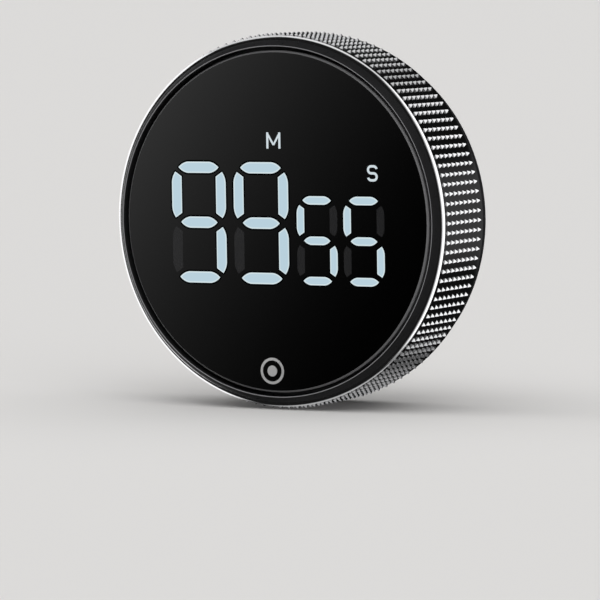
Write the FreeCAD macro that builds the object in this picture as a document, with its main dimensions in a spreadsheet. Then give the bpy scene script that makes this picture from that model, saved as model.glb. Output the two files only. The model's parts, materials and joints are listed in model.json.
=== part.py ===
import FreeCAD
import Part
import Sketcher
import math
import os

# A round magnetic kitchen timer with a turning knurled ring, a press-to-start front panel,
# and a battery bay behind.  Millimetres.  The origin is the centre of the rear face that meets
# the wall.  The axis is Y, the front faces -Y, and +Z is up.  "Depth" below is the distance in
# front of the wall, so a depth of 10 lies at y = -10.

SIZES = {
    # play between pieces that fit, room past a moving end, and how far a cut passes its face
    "fine_play": 0.05,
    "play": 0.1,
    "loose_play": 0.15,
    "room": 0.3,
    "opening_margin": 0.4,
    "overrun": 1.0,
    # turning ring
    "knurl_crest_radius": 39.5,
    "rim_radius": 38.94,
    "rim_shoulder": 24.1,
    "rim_front": 24.5,
    "sleeve_bore": 37.5,
    "sleeve_back": 6.3,
    "knurl_first_row": 8.35,
    "knurl_pitch": 2.014,
    "knurl_half_base": 0.53,
    "knurl_rows": 8,
    "bezel_outer": 38.0,
    "bezel_inner": 36.71,
    "bezel_front": 26.0,
    "bezel_edge": 0.12,
    "bezel_flange_depth": 24.0,
    "carrier_front": 22.6,
    "carrier_bore": 34.7,
    "carrier_mouth": 35.7,
    "stop_depth": 19.8,
    # ring gear and pinion
    "gear_module": 0.8,
    "ring_teeth": 84,
    "pinion_teeth": 12,
    "pressure_angle": 20.0,
    "ring_tip_radius": 33.16,
    "ring_root_radius": 34.56,
    "ring_gear_outer": 35.2,
    "pinion_tip_radius": 5.55,
    "pinion_root_radius": 4.05,
    "backlash": 0.12,
    "gear_back": 7.0,
    "gear_front": 11.0,
    "encoder_shaft_radius": 1.5,
    "encoder_shaft_back": 6.4,
    "encoder_body_radius": 3.2,
    "encoder_body_back": 11.6,
    "encoder_shaft_front": 13.6,
    # front panel
    "lens_radius": 35.85,
    "lens_back": 23.55,
    "lens_front": 25.55,
    "lens_edge": 0.4,
    "frame_radius": 35.3,
    "frame_opening": 27.4,
    "frame_back": 22.75,
    "press_travel": 0.5,
    "snap_post_radius": 1.1,
    "snap_barb_radius": 1.5,
    "snap_barb_front": 20.1,
    "snap_post_back": 18.9,
    "snap_split": 0.5,
    "snap_x": 14.5,
    "snap_z": 25.1,
    "switch_z": 27.5,
    "switch_side": 6.0,
    "switch_front": 19.4,
    "switch_boss_radius": 2.0,
    "switch_pad_radius": 3.5,
    "plunger_radius": 1.65,
    "plunger_back": 17.9,
    "plunger_front": 20.35,
    # digits: big for minutes, small for seconds
    "digit_base": 13.1,
    "big_height": 25.6,
    "big_width": 13.05,
    "big_stroke": 2.38,
    "big_cap_length": 9.7,
    "big_middle_length": 8.8,
    "big_side_length": 9.75,
    "big_first_x": 18.32,
    "big_pitch": 14.94,
    "small_height": 18.6,
    "small_width": 9.55,
    "small_stroke": 1.77,
    "small_cap_length": 6.7,
    "small_middle_length": 6.2,
    "small_side_length": 6.45,
    "small_first_x": 9.87,
    "small_pitch": 11.0,
    "letter_height": 3.4,
    "letter_stroke": 0.5,
    "minute_letter_width": 3.36,
    "minute_letter_x": 0.19,
    "minute_letter_z": 17.05,
    "second_letter_width": 2.5,
    "second_letter_x": 23.03,
    "second_letter_z": 10.37,
    "icon_x": 1.3,
    "icon_z": 31.35,
    "icon_radius": 2.8,
    "icon_line": 0.57,
    "icon_dot_radius": 1.15,
    "icon_inlay_depth": 0.4,
    # middle housing
    "skirt_outer": 32.6,
    "skirt_inner": 31.2,
    "skirt_back": 2.3,
    "step_depth": 12.6,
    "land_radius": 34.62,
    "cup_inner": 33.2,
    "cup_front": 21.6,
    "flange_radius": 35.2,
    "flange_back": 20.4,
    "floor_back": 12.9,
    "floor_front": 14.1,
    "bay_length": 50.0,
    "bay_width": 33.0,
    "bay_wall": 1.1,
    "bay_back": 2.3,
    "rear_screw_x": 28.6,
    "rear_screw_z": 6.5,
    "rear_boss_radius": 2.1,
    "screw_radius": 0.95,
    "rear_screw_depth": 6.3,
    "board_screw_x": 21.5,
    "board_screw_depth": 2.0,
    "standoff_radius": 1.8,
    # rear shell
    "shell_radius": 37.5,
    "shell_back": 0.6,
    "shell_front": 5.8,
    "shell_floor": 2.2,
    "shell_wall": 1.6,
    "shell_rounding": 2.0,
    "groove_inner": 32.4,
    "groove_outer": 35.0,
    "groove_depth": 0.6,
    "grip_fit": 0.05,
    "door_length": 52.0,
    "door_width": 35.0,
    "door_fit": 0.2,
    "door_front": 1.8,
    "door_corner": 1.6,
    "notch_length": 9.0,
    "notch_width": 2.4,
    "notch_depth": 0.7,
    "magnet_radius": 3.5,
    "magnet_pocket_radius": 3.6,
    "magnet_back": 0.2,
    "magnet_front": 1.9,
    "magnet_x": 15.0,
    "magnet_z": 22.5,
    "glide_inner": 35.95,
    "glide_outer": 37.3,
    "glide_front": 6.1,
    "head_radius": 1.8,
    "head_recess_radius": 2.0,
    "head_recess_depth": 1.0,
    "cross_length": 2.3,
    "cross_width": 0.45,
    "cross_depth": 0.5,
    "rear_screw_length": 6.1,
    "board_head_height": 1.0,
    # volume slider
    "slider_z": 24.0,
    "slider_travel": 2.0,
    "slider_cap_length": 5.6,
    "slider_cap_width": 3.8,
    "slider_groove_pitch": 0.9,
    "slider_groove_width": 0.4,
    "slider_groove_depth": 0.25,
    "slider_stem_length": 3.4,
    "slider_stem_width": 1.6,
    "slider_clearance": 0.35,
    "slider_cap_back": 0.35,
    "slider_cap_front": 1.15,
    "slider_recess_front": 1.5,
    "slider_stem_front": 9.4,
    "slider_fork_back": 7.2,
    "lever_length": 1.5,
    "lever_width": 1.0,
    "lever_back": 7.5,
    "lever_front": 11.3,
    "volume_body_length": 8.7,
    "volume_body_width": 4.4,
    "volume_body_back": 10.3,
    # board and what it carries
    "board_back": 14.8,
    "board_front": 16.0,
    "board_radius": 32.8,
    "led_height": 0.7,
    "led_length": 1.2,
    "led_width": 0.7,
    "chip_side": 7.0,
    "chip_height": 1.1,
    "chip_z": 22.0,
    "chip_dimple_radius": 0.4,
    "chip_dimple_offset": 2.6,
    "component_first_x": 5.6,
    "component_pitch": 1.9,
    "component_offset": 1.5,
    "capacitor_length": 1.1,
    "capacitor_width": 2.0,
    "capacitor_height": 1.0,
    "resistor_length": 0.8,
    "resistor_width": 1.6,
    "resistor_height": 0.5,
    "crystal_z": 27.6,
    "crystal_length": 5.0,
    "crystal_width": 2.0,
    "crystal_height": 1.2,
    "buzzer_radius": 4.5,
    "buzzer_back": 10.2,
    "buzzer_x": 12.0,
    "buzzer_z": 23.5,
    "buzzer_hole_radius": 1.0,
    "buzzer_hole_depth": 0.8,
    "block_back": 20.3,
    "block_front": 21.55,
    "block_radius": 33.0,
    "core_half_length": 27.6,
    "core_half_height": 14.6,
    "post_clearance": 0.12,
    "film_front": 21.75,
    "film_half_length": 27.0,
    "film_half_height": 14.4,
    "film_tab_half_length": 5.0,
    "film_tab_top": 20.0,
    "foam_inner": 30.8,
    "foam_outer": 32.8,
    # batteries and contacts
    "cell_radius": 5.25,
    "cell_length": 43.7,
    "cell_edge": 0.35,
    "cell_nub_radius": 1.9,
    "cell_nub_length": 0.8,
    "cell_pitch": 10.8,
    "cell_depth": 7.5,
    "contact_thickness": 0.3,
    "contact_height": 7.0,
    "contact_width": 7.0,
    "contact_tail_width": 1.4,
    "leaf_width": 3.0,
    "leaf_half_height": 2.8,
    "leaf_gap": 0.5,
}

ROTATE_TO_FRONT = FreeCAD.Rotation(FreeCAD.Vector(1, 0, 0), 90)
FRONT = FreeCAD.Vector(0, -1, 0)


class Size:
    """A number that remembers the spreadsheet formula it comes from."""

    def __init__(self, value, formula):
        self.value = float(value)
        self.formula = formula

    def __add__(self, other):
        other = as_size(other)
        return Size(self.value + other.value, f"({self.formula} + {other.formula})")

    def __sub__(self, other):
        other = as_size(other)
        return Size(self.value - other.value, f"({self.formula} - {other.formula})")

    def __mul__(self, other):
        other = as_size(other)
        return Size(self.value * other.value, f"({self.formula} * {other.formula})")

    def __truediv__(self, other):
        other = as_size(other)
        return Size(self.value / other.value, f"({self.formula} / {other.formula})")

    def __neg__(self):
        return Size(-self.value, f"(-1 * {self.formula})")

    __radd__ = __add__
    __rmul__ = __mul__


def as_size(number):
    if isinstance(number, Size):
        return number
    return Size(number, repr(float(number)))


class Dimensions:
    """The sheet of driving dimensions, read as attributes: dim.lens_radius."""

    def __init__(self, document, sizes):
        self.sheet = document.addObject("Spreadsheet::Sheet", "Dimensions")
        for row, (name, value) in enumerate(sizes.items(), start=1):
            self.sheet.set(f"A{row}", name)
            self.sheet.set(f"B{row}", repr(value))
            self.sheet.setAlias(f"B{row}", name)
            setattr(self, name, Size(value, f"Dimensions.{name}"))


doc = FreeCAD.newDocument("kitchen_timer")
dim = Dimensions(doc, SIZES)
doc.recompute()
subparts = []

# The pinion meshes at the top of the ring gear, so its axis stands this high.
pinion_height = dim.gear_module * (dim.ring_teeth - dim.pinion_teeth) / 2


# ---- helpers -----------------------------------------------------------------------------


def bind(thing, prop, size):
    thing.setExpression(prop, as_size(size).formula)


def finish(thing, label):
    """Names a finished sub-part, which also names its file."""
    thing.Label = label
    subparts.append(thing)
    return thing


def new_body(name):
    return doc.addObject("PartDesign::Body", name + "_body")


def new_sketch(body, name, role, offset=0.0):
    sketch = body.newObject("Sketcher::SketchObject", name)
    plane = next(f for f in body.Origin.OriginFeatures if f.Role == role)
    sketch.AttachmentSupport = [(plane, "")]
    sketch.MapMode = "FlatFace"
    offset = as_size(offset)
    sketch.AttachmentOffset = FreeCAD.Placement(
        FreeCAD.Vector(0, 0, offset.value), FreeCAD.Rotation()
    )
    bind(sketch, "AttachmentOffset.Base.z", offset)
    return sketch


def place_point(sketch, geometry, position, across, along):
    """Fixes one point of a sketch at (across, along) from the sketch's origin."""
    for kind, size, axis in (("DistanceX", across, -2), ("DistanceY", along, -1)):
        size = as_size(size)
        if size.value == 0:
            rule = Sketcher.Constraint("PointOnObject", geometry, position, axis)
            sketch.addConstraint(rule)
            continue
        rule = Sketcher.Constraint(kind, -1, 1, geometry, position, size.value)
        index = sketch.addConstraint(rule)
        sketch.setExpression(f"Constraints[{index}]", size.formula)


def add_polygon(sketch, points):
    """A closed outline of straight lines through the given (across, along) points."""
    vectors = [FreeCAD.Vector(as_size(a).value, as_size(b).value, 0) for a, b in points]
    first = len(sketch.Geometry)
    count = len(points)
    for i in range(count):
        sketch.addGeometry(Part.LineSegment(vectors[i], vectors[(i + 1) % count]))
    for i in range(count):
        following = first + (i + 1) % count
        sketch.addConstraint(Sketcher.Constraint("Coincident", first + i, 2, following, 1))
    for i, (across, along) in enumerate(points):
        place_point(sketch, first + i, 1, across, along)


def add_rectangle(sketch, left, right, bottom, top):
    add_polygon(sketch, [(left, bottom), (right, bottom), (right, top), (left, top)])


def add_circle(sketch, across, along, radius):
    across, along, radius = as_size(across), as_size(along), as_size(radius)
    centre = FreeCAD.Vector(across.value, along.value, 0)
    circle = Part.Circle(centre, FreeCAD.Vector(0, 0, 1), radius.value)
    index = sketch.addGeometry(circle)
    rule = sketch.addConstraint(Sketcher.Constraint("Radius", index, radius.value))
    sketch.setExpression(f"Constraints[{rule}]", radius.formula)
    place_point(sketch, index, 3, across, along)


def revolve(body, name, profile):
    """Turns a (radius, depth) outline about the timer's axis."""
    sketch = new_sketch(body, name + "_profile", "XY_Plane")
    add_polygon(sketch, [(radius, -as_size(depth)) for radius, depth in profile])
    turned = body.newObject("PartDesign::Revolution", name)
    turned.Profile = sketch
    turned.ReferenceAxis = (sketch, ["V_Axis"])
    turned.Angle = 360.0
    return turned


def face_sketch(body, name, depth):
    """A sketch parallel to the timer's face: across is X, along is Z."""
    return new_sketch(body, name, "XZ_Plane", depth)


def pad(body, name, sketch, length):
    """Adds material from the sketch towards the front."""
    feature = body.newObject("PartDesign::Pad", name)
    feature.Profile = sketch
    bind(feature, "Length", length)
    return feature


def pocket(body, name, sketch, length):
    """Removes material from the sketch towards the wall."""
    feature = body.newObject("PartDesign::Pocket", name)
    feature.Profile = sketch
    bind(feature, "Length", length)
    return feature


def dress(body, name, kind, size, wanted):
    """A fillet or chamfer on the edges of the body's tip that the test picks."""
    doc.recompute()
    base = body.Tip
    edges = [f"Edge{i}" for i, edge in enumerate(base.Shape.Edges, start=1) if wanted(edge)]
    feature = body.newObject(kind, name)
    feature.Base = (base, edges)
    bind(feature, "Radius" if kind.endswith("Fillet") else "Size", size)
    return feature


def near(a, b):
    return abs(a - b) < 1e-4


def is_rim(edge, radius, depth):
    """True for a full circle about the axis with this radius, at this depth."""
    round_edge = hasattr(edge, "Curve") and isinstance(edge.Curve, Part.Circle)
    if not round_edge:
        return False
    centre = edge.Curve.Center
    return near(edge.Curve.Radius, radius.value) and near(centre.y, -as_size(depth).value)


def is_corner(edge, back, front, least_across):
    """True for a straight edge along the axis between two depths, away from the centre."""
    ends = [v.Point for v in edge.Vertexes]
    if len(ends) != 2:
        return False
    low, high = sorted((ends[0].y, ends[1].y))
    spans = near(low, -as_size(front).value) and near(high, -as_size(back).value)
    return spans and abs(ends[0].x) > least_across and near(ends[0].x, ends[1].x)


def place(thing, x, y, z, rotation=None):
    x, y, z = as_size(x), as_size(y), as_size(z)
    base = FreeCAD.Vector(x.value, y.value, z.value)
    thing.Placement = FreeCAD.Placement(base, rotation or FreeCAD.Rotation())
    bind(thing, "Placement.Base.x", x)
    bind(thing, "Placement.Base.y", y)
    bind(thing, "Placement.Base.z", z)


def post(name, radius, back, front, x=0.0, z=0.0):
    """A cylinder along the timer's axis between two depths."""
    thing = doc.addObject("Part::Cylinder", name)
    bind(thing, "Radius", radius)
    bind(thing, "Height", as_size(front) - back)
    place(thing, x, -as_size(back), z, ROTATE_TO_FRONT)
    return thing


def block(name, left, right, back, front, bottom, top):
    """A box between two X, two depths and two Z."""
    thing = doc.addObject("Part::Box", name)
    bind(thing, "Length", as_size(right) - left)
    bind(thing, "Width", as_size(front) - back)
    bind(thing, "Height", as_size(top) - bottom)
    place(thing, left, -as_size(front), bottom)
    return thing


def centred_block(name, x, z, length, width, back, front):
    x, z, length, width = as_size(x), as_size(z), as_size(length), as_size(width)
    return block(
        name, x - length / 2, x + length / 2, back, front, z - width / 2, z + width / 2
    )


def fuse(name, things):
    thing = doc.addObject("Part::MultiFuse", name)
    thing.Shapes = things
    return thing


def cut(name, base, tool):
    thing = doc.addObject("Part::Cut", name)
    thing.Base = base
    thing.Tool = tool
    return thing


def group(name, things):
    """Separate solids kept together in one sub-part."""
    thing = doc.addObject("Part::Compound", name)
    thing.Links = things
    return thing


def solid_feature(name, shape, depth=0.0, z=0.0):
    """A shape that was made at depth 0, set at its own depth and height."""
    thing = doc.addObject("Part::Feature", name)
    thing.Shape = shape
    place(thing, 0.0, -as_size(depth), z)
    return thing


# ---- turning ring ------------------------------------------------------------------------


def knurled_sleeve():
    """Metal ring: eight ridges of the knurl with level lands between, and the polished front rim."""
    profile = [
        (dim.sleeve_bore, dim.sleeve_back),
        (dim.rim_radius, dim.sleeve_back),
    ]
    for row in range(SIZES["knurl_rows"]):
        crest = dim.knurl_first_row + dim.knurl_pitch * row
        profile.append((dim.rim_radius, crest - dim.knurl_half_base))
        profile.append((dim.knurl_crest_radius, crest))
        profile.append((dim.rim_radius, crest + dim.knurl_half_base))
    profile += [
        (dim.rim_radius, dim.rim_shoulder),
        (dim.bezel_outer, dim.rim_front),
        (dim.bezel_outer, dim.bezel_flange_depth),
        (dim.sleeve_bore, dim.bezel_flange_depth),
    ]
    body = new_body("knurled_sleeve")
    revolve(body, "sleeve_turning", profile)
    finish(body, "knurled_sleeve")


def front_bezel():
    """Dark bevelled ring pressed into the sleeve's mouth."""
    body = new_body("front_bezel")
    profile = [
        (dim.bezel_inner, dim.carrier_front),
        (dim.sleeve_bore, dim.carrier_front),
        (dim.sleeve_bore, dim.bezel_flange_depth),
        (dim.bezel_outer, dim.bezel_flange_depth),
        (dim.bezel_outer, dim.rim_front),
        (dim.bezel_inner + dim.bezel_edge, dim.bezel_front),
        (dim.bezel_inner, dim.bezel_front - dim.bezel_edge),
    ]
    revolve(body, "bezel_turning", profile)
    finish(body, "front_bezel")


def involute_angle(base_radius, radius):
    """How far an involute has turned from its base circle when it reaches this radius."""
    if radius <= base_radius:
        return 0.0
    roll = math.sqrt((radius / base_radius) ** 2 - 1)
    return roll - math.atan(roll)


def gear_wire(teeth, low, high, thinning, internal):
    """A closed toothed outline in the XZ plane.

    The flanks are involutes between the low and high radius.  An outer gear's teeth are made
    thinner by the given arc length, and an inner gear's tooth spaces are made wider by it.
    """
    module = SIZES["gear_module"]
    pitch_radius = module * teeth / 2
    base_radius = pitch_radius * math.cos(math.radians(SIZES["pressure_angle"]))
    half_pitch = math.pi / (2 * teeth)
    change = thinning / (2 * pitch_radius)
    half_tooth = half_pitch + (change if internal else -change)
    at_pitch = involute_angle(base_radius, pitch_radius)

    def half_angle(radius):
        return half_tooth + at_pitch - involute_angle(base_radius, radius)

    def point(radius, angle):
        return FreeCAD.Vector(radius * math.sin(angle), 0, radius * math.cos(angle))

    flank_points = 5
    start = max(low, base_radius)
    radii = [start + (high - start) * i / (flank_points - 1) for i in range(flank_points)]
    edges = []
    for tooth in range(teeth):
        middle = 2 * math.pi * tooth / teeth
        rising = [point(r, middle - half_angle(r)) for r in radii]
        falling = [point(r, middle + half_angle(r)) for r in reversed(radii)]
        root_start = point(low, middle - half_angle(low))
        root_end = point(low, middle + half_angle(low))
        if low < start:
            edges.append(Part.LineSegment(root_start, rising[0]).toShape())
        for flank in (rising, falling):
            curve = Part.BSplineCurve()
            curve.interpolate(flank)
            edges.append(curve.toShape())
            if flank is rising:
                crown = Part.Arc(rising[-1], point(high, middle), falling[0])
                edges.append(crown.toShape())
        if low < start:
            edges.append(Part.LineSegment(falling[-1], root_end).toShape())
        next_middle = middle + 2 * math.pi / teeth
        next_start = point(low, next_middle - half_angle(low))
        valley = point(low, (middle + next_middle) / 2)
        edges.append(Part.Arc(root_end, valley, next_start).toShape())
    return Part.Wire(Part.__sortEdges__(edges))


def ring_gear_shape():
    """The band of internal teeth: its tooth spaces are the outline of an outer gear."""
    spaces = gear_wire(
        SIZES["ring_teeth"],
        SIZES["ring_tip_radius"],
        SIZES["ring_root_radius"],
        SIZES["backlash"],
        True,
    )
    outer = Part.Wire(
        Part.makeCircle(SIZES["ring_gear_outer"], FreeCAD.Vector(), FreeCAD.Vector(0, 1, 0))
    )
    depth = FRONT * (SIZES["gear_front"] - SIZES["gear_back"])
    disc = Part.Face(outer).extrude(depth)
    core = Part.Face(spaces).extrude(depth)
    return disc.cut(core).Solids[0]


def knob_carrier():
    """Plastic ring inside the sleeve, with the bearing bore, the end stop and the ring gear."""
    profile = [
        (dim.carrier_bore, dim.sleeve_back),
        (dim.sleeve_bore, dim.sleeve_back),
        (dim.sleeve_bore, dim.carrier_front),
        (dim.carrier_mouth, dim.carrier_front),
        (dim.carrier_mouth, dim.stop_depth),
        (dim.carrier_bore, dim.stop_depth),
    ]
    body = new_body("knob_carrier")
    revolve(body, "carrier_turning", profile)
    teeth = solid_feature("carrier_teeth", ring_gear_shape(), dim.gear_back)
    finish(fuse("carrier_with_teeth", [body, teeth]), "knob_carrier")


def encoder_gear():
    """The pinion that the ring turns, on the encoder's shaft.  A tooth points straight up."""
    outline = gear_wire(
        SIZES["pinion_teeth"],
        SIZES["pinion_root_radius"],
        SIZES["pinion_tip_radius"],
        SIZES["backlash"],
        False,
    )
    wheel = Part.Face(outline).extrude(FRONT * (SIZES["gear_front"] - SIZES["gear_back"]))
    shaft = post(
        "encoder_shaft",
        dim.encoder_shaft_radius,
        dim.encoder_shaft_back,
        dim.encoder_shaft_front,
        z=pinion_height,
    )
    teeth = solid_feature("encoder_teeth", wheel, dim.gear_back, pinion_height)
    finish(fuse("encoder_pinion", [teeth, shaft]), "encoder_gear")


def encoder_body():
    """Round encoder can under the board, with a bore for its shaft."""
    can = post("encoder_can", dim.encoder_body_radius, dim.encoder_body_back, dim.board_back,
               z=pinion_height)
    bore = post("encoder_bore", dim.encoder_shaft_radius + dim.fine_play,
                dim.encoder_body_back - dim.overrun, dim.encoder_shaft_front + dim.room,
                z=pinion_height)
    finish(cut("encoder_can_bored", can, bore), "encoder_body")


# ---- front panel -------------------------------------------------------------------------


def curved_outline(points):
    """A closed XZ outline.  Each entry is (x, z), or (x, z, bulge) for an arc that leaves it.

    The bulge is the arc's height over its chord, to the left of the direction of travel.
    """
    edges = []
    for i, entry in enumerate(points):
        following = points[(i + 1) % len(points)]
        start = FreeCAD.Vector(entry[0], 0, entry[1])
        end = FreeCAD.Vector(following[0], 0, following[1])
        if len(entry) == 2:
            edges.append(Part.LineSegment(start, end).toShape())
            continue
        chord = end - start
        left = FreeCAD.Vector(-chord.z, 0, chord.x).normalize()
        middle = (start + end) * 0.5 + left * entry[2]
        edges.append(Part.Arc(start, middle, end).toShape())
    return Part.Face(Part.Wire(edges))


def flat_segment(length, stroke, x, z):
    """A level bar with two pointed, rounded ends."""
    tip, half = length / 2, stroke / 2
    taper, bulge = 0.94 * stroke, 0.1 * stroke
    shoulder = tip - taper
    return curved_outline([
        (x - tip, z, bulge),
        (x - shoulder, z + half),
        (x + shoulder, z + half, bulge),
        (x + tip, z, bulge),
        (x + shoulder, z - half),
        (x - shoulder, z - half, bulge),
    ])


def side_segment(length, stroke, outer_x, side, z):
    """An upright bar: a straight inner edge with cut corners, and an outer edge that curves in.

    side is +1 when the outer edge is on the right, and -1 when it is on the left.
    """
    tip = length / 2
    inset, cut_corner, taper = 0.37 * stroke, 0.42 * stroke, 1.12 * stroke
    bulge = -side * 0.11 * stroke
    tip_x = outer_x - side * inset
    inner_x = outer_x - side * stroke
    corner = tip - cut_corner
    shoulder = tip - taper
    return curved_outline([
        (tip_x, z + tip),
        (inner_x, z + corner),
        (inner_x, z - corner),
        (tip_x, z - tip, bulge),
        (outer_x, z - shoulder),
        (outer_x, z + shoulder, bulge),
    ])


def digit(size, centre_x):
    """The seven segment faces of one digit, by name.  size is "big" or "small"."""
    width, height = SIZES[size + "_width"], SIZES[size + "_height"]
    stroke, side_length = SIZES[size + "_stroke"], SIZES[size + "_side_length"]
    cap, bar = SIZES[size + "_cap_length"], SIZES[size + "_middle_length"]
    base = -SIZES["digit_base"]
    middle = base + height / 2
    rise = (height - stroke) / 4
    left, right = centre_x - width / 2, centre_x + width / 2
    return {
        "top": flat_segment(cap, stroke, centre_x, base + height - stroke / 2),
        "middle": flat_segment(bar, stroke, centre_x, middle),
        "bottom": flat_segment(cap, stroke, centre_x, base + stroke / 2),
        "upper_left": side_segment(side_length, stroke, left, -1, middle + rise),
        "upper_right": side_segment(side_length, stroke, right, 1, middle + rise),
        "lower_left": side_segment(side_length, stroke, left, -1, middle - rise),
        "lower_right": side_segment(side_length, stroke, right, 1, middle - rise),
    }


def digit_faces():
    """The lit minute, lit second and unlit segment faces: 99 minutes and 55 seconds."""
    dark = {"big": ("lower_left",), "small": ("upper_right", "lower_left")}
    lit = {"big": [], "small": []}
    unlit = []
    for size, first in (("big", -SIZES["big_first_x"]), ("small", SIZES["small_first_x"])):
        for place_number in range(2):
            centre_x = first + place_number * SIZES[size + "_pitch"]
            for name, face in digit(size, centre_x).items():
                (unlit if name in dark[size] else lit[size]).append(face)
    return lit["big"], lit["small"], unlit


def bar_face(x0, z0, x1, z1, stroke):
    """A straight stroke of constant width between two points."""
    start, end = FreeCAD.Vector(x0, 0, z0), FreeCAD.Vector(x1, 0, z1)
    along = (end - start).normalize()
    aside = FreeCAD.Vector(-along.z, 0, along.x) * (stroke / 2)
    corners = [start - aside, end - aside, end + aside, start + aside]
    return Part.Face(Part.makePolygon(corners + corners[:1]))


def arc_face(x, z, radius, stroke, start_angle, end_angle):
    """A curved stroke about (x, z).  Angles are in degrees, from +X towards +Z."""

    def point(r, degrees):
        turn = math.radians(degrees)
        return FreeCAD.Vector(x + r * math.cos(turn), 0, z + r * math.sin(turn))

    inner, outer = radius - stroke / 2, radius + stroke / 2
    middle = (start_angle + end_angle) / 2
    edges = [
        Part.Arc(point(outer, start_angle), point(outer, middle), point(outer, end_angle)),
        Part.LineSegment(point(outer, end_angle), point(inner, end_angle)),
        Part.Arc(point(inner, end_angle), point(inner, middle), point(inner, start_angle)),
        Part.LineSegment(point(inner, start_angle), point(outer, start_angle)),
    ]
    return Part.Face(Part.Wire([edge.toShape() for edge in edges]))


def minute_letter_face():
    """The letter for minutes, M: two legs and two slanted strokes."""
    x, z = -SIZES["minute_letter_x"], SIZES["minute_letter_z"]
    stroke = SIZES["letter_stroke"]
    half_width = (SIZES["minute_letter_width"] - stroke) / 2
    half_height = SIZES["letter_height"] / 2
    slant = stroke * 0.85
    notch = z - half_height * 0.55
    shoulder = half_height - stroke * 0.45
    strokes = []
    for side in (-1, 1):
        leg_x = x + side * half_width
        strokes.append(bar_face(leg_x, z - half_height, leg_x, z + half_height, stroke))
        strokes.append(bar_face(leg_x, z + shoulder, x, notch, slant))
    joined = strokes[0].multiFuse(strokes[1:])
    return joined.removeSplitter().Faces[0]


def second_letter_face():
    """The letter for seconds, S: two round bowls joined by short straight strokes."""
    x, z = SIZES["second_letter_x"], SIZES["second_letter_z"]
    stroke = SIZES["letter_stroke"]
    bowl = (SIZES["letter_height"] - stroke) / 4
    offset = (SIZES["second_letter_width"] - stroke) / 2 - bowl
    strokes = [
        arc_face(x - offset, z + bowl, bowl, stroke, 90, 270),
        arc_face(x + offset, z + bowl, bowl, stroke, 15, 90),
        arc_face(x + offset, z - bowl, bowl, stroke, -90, 90),
        arc_face(x - offset, z - bowl, bowl, stroke, 195, 270),
    ]
    for level in (2, 0, -2):
        height = z + level * bowl
        strokes.append(bar_face(x - offset, height, x + offset, height, stroke))
    joined = strokes[0].multiFuse(strokes[1:])
    return joined.removeSplitter().Faces[0]


def icon_faces():
    """The start mark: a ring and a dot."""
    centre = FreeCAD.Vector(-SIZES["icon_x"], 0, -SIZES["icon_z"])
    axis = FreeCAD.Vector(0, 1, 0)

    def disc(radius):
        return Part.Face(Part.Wire(Part.makeCircle(radius, centre, axis)))

    outer = SIZES["icon_radius"]
    ring = disc(outer).cut(disc(outer - SIZES["icon_line"]))
    return [ring.Faces[0], disc(SIZES["icon_dot_radius"])]


def prisms(name, faces, back, front):
    """Solids with the given faces, between two depths."""
    length = as_size(front) - back
    solids = [face.extrude(FRONT * length.value) for face in faces]
    return solid_feature(name, Part.makeCompound(solids), back)


def panel_inlays():
    """The light windows and letters go right through the panel; the start mark is shallow."""
    minutes, seconds, unlit = digit_faces()
    through = {
        "minute_segments": minutes,
        "second_segments": seconds,
        "unlit_segments": unlit,
        "minute_letter": [minute_letter_face()],
        "second_letter": [second_letter_face()],
    }
    inlays = []
    for label, faces in through.items():
        inlays.append(prisms(label + "_inlay", faces, dim.lens_back, dim.lens_front))
        finish(inlays[-1], label)
    mark_back = dim.lens_front - dim.icon_inlay_depth
    inlays.append(prisms("start_icon_inlay", icon_faces(), mark_back, dim.lens_front))
    finish(inlays[-1], "start_icon")
    return group("lens_openings", inlays)


def front_lens():
    """Glossy panel, pierced for its light windows, with a fine chamfer round its front."""
    body = new_body("front_lens")
    profile = [
        (0, dim.lens_back),
        (dim.lens_radius, dim.lens_back),
        (dim.lens_radius, dim.lens_front - dim.lens_edge),
        (dim.lens_radius - dim.lens_edge, dim.lens_front),
        (0, dim.lens_front),
    ]
    revolve(body, "lens_turning", profile)
    finish(cut("lens_pierced", body, panel_inlays()), "front_lens")


def corners(x, z):
    """The four mirrored places (x, z) of a rectangle, as sizes."""
    return [(sx * x, sz * z) for sx in (1, -1) for sz in (1, -1)]


def press_frame():
    """Ring behind the panel, with a boss over the switch and four split snap posts."""
    ring = post("frame_disc", dim.frame_radius, dim.frame_back, dim.lens_back)
    opening = post("frame_window", dim.frame_opening, dim.frame_back - dim.overrun,
                   dim.lens_back + dim.overrun)
    solids = [cut("frame_ring", ring, opening)]
    solids.append(post("frame_switch_pad", dim.switch_pad_radius, dim.frame_back,
                       dim.lens_back, z=-dim.switch_z))
    solids.append(post("frame_switch_boss", dim.switch_boss_radius,
                       dim.plunger_front + dim.fine_play, dim.frame_back, z=-dim.switch_z))
    for number, (x, z) in enumerate(corners(dim.snap_x, dim.snap_z), start=1):
        shank = post(f"snap_shank_{number}", dim.snap_post_radius, dim.snap_post_back,
                     dim.lens_back, x, z)
        barb = doc.addObject("Part::Cone", f"snap_barb_{number}")
        bind(barb, "Radius1", dim.snap_post_radius)
        bind(barb, "Radius2", dim.snap_barb_radius)
        bind(barb, "Height", dim.snap_barb_front - dim.snap_post_back)
        place(barb, x, -dim.snap_post_back, z, ROTATE_TO_FRONT)
        whole = fuse(f"snap_post_{number}", [shank, barb])
        slot = centred_block(f"snap_slot_{number}", x, z, dim.snap_split,
                             dim.snap_barb_radius * 3, dim.snap_post_back - dim.overrun,
                             dim.frame_back)
        solids.append(cut(f"snap_split_{number}", whole, slot))
    finish(fuse("frame_with_posts", solids), "press_frame")


def return_foam():
    """Soft ring between the display block and the press frame, which lifts the panel back."""
    body = new_body("return_foam")
    front = dim.frame_back - dim.fine_play
    profile = [
        (dim.foam_inner, dim.block_front),
        (dim.foam_outer, dim.block_front),
        (dim.foam_outer, front),
        (dim.foam_inner, front),
    ]
    revolve(body, "foam_turning", profile)
    finish(body, "return_foam")


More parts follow.
